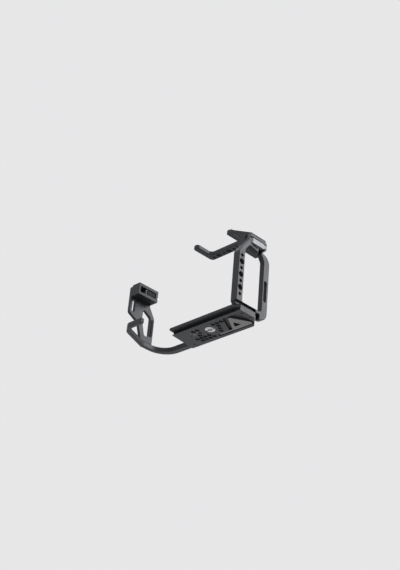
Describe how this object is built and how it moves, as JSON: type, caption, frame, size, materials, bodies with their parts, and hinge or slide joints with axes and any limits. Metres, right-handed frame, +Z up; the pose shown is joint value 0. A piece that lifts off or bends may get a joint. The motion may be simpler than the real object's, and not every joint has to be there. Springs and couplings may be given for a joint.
{
  "type": "camera cage",
  "caption": "Metal cage round a mirrorless camera, with strap-lug clamps, threaded side post, dovetail base, fixing screw and stowed flat driver.",
  "frame": {"origin": "on the axis of the camera fixing screw, in the plane of the dovetail rail's foot", "axes": "+Z up towards the camera, -Y the way the lens looks, +X towards the side of the threaded post (the left hand of the person behind the camera)"},
  "size_m": [0.158, 0.086, 0.114],
  "materials": {
    "cage_aluminium": "matte anodised",
    "clamp_aluminium": "satin anodised",
    "screw_steel": "satin",
    "tool_steel": "satin",
    "insert_steel": "satin",
    "dark_screws": "black oxide",
    "magnet_plating": "nickel plated",
    "washer_plastic": "matte",
    "pad_rubber": "matte"
  },
  "bodies": {
    "cage": {"base_plate": "cage_aluminium", "left_frame": "cage_aluminium", "top_plate": "cage_aluminium", "grip_guard": "cage_aluminium", "right_arm": "cage_aluminium", "tool_magnets": "magnet_plating", "base_insert": "insert_steel", "base_pad": "pad_rubber", "arm_pad": "pad_rubber", "locating_pin": "insert_steel", "frame_screws": "dark_screws", "guard_screws": "dark_screws", "arm_screws": "dark_screws", "top_screws": "dark_screws"},
    "left_clamp": {"left_lug_clamp": "clamp_aluminium", "left_clamp_pad": "pad_rubber"},
    "left_screw": {"left_clamp_screw": "screw_steel"},
    "right_clamp": {"right_lug_clamp": "clamp_aluminium", "right_clamp_pad": "pad_rubber"},
    "right_screw": {"right_clamp_screw": "screw_steel"},
    "fixing_carrier": {"fixing_washer": "washer_plastic"},
    "fixing_spin": {"fixing_screw": "screw_steel"},
    "driver": {"flat_driver": "tool_steel"}
  },
  "joints": [
    {"name": "left_clamp_slide", "type": "slide", "parent": "cage", "child": "left_clamp", "axis": [1, 0, 0], "range_m": [0, 0.04]},
    {"name": "right_clamp_slide", "type": "slide", "parent": "cage", "child": "right_clamp", "axis": [-1, 0, 0], "range_m": [0, 0.046]},
    {"name": "fixing_screw_lift", "type": "slide", "parent": "cage", "child": "fixing_carrier", "axis": [0, 0, -1], "range_m": [0, 0.036]},
    {"name": "fixing_screw_turn", "type": "hinge", "parent": "fixing_carrier", "child": "fixing_spin", "pos_m": [0, 0, 0], "axis": [0, 0, 1], "continuous": true},
    {"name": "left_screw_slide", "type": "slide", "parent": "left_clamp", "child": "left_screw", "axis": [0, 1, 0], "range_m": [0, 0.014]},
    {"name": "right_screw_slide", "type": "slide", "parent": "right_clamp", "child": "right_screw", "axis": [0, 1, 0], "range_m": [0, 0.014]},
    {"name": "driver_lift", "type": "slide", "parent": "cage", "child": "driver", "axis": [0, 0, -1], "range_m": [0, 0.012]}
  ]
}
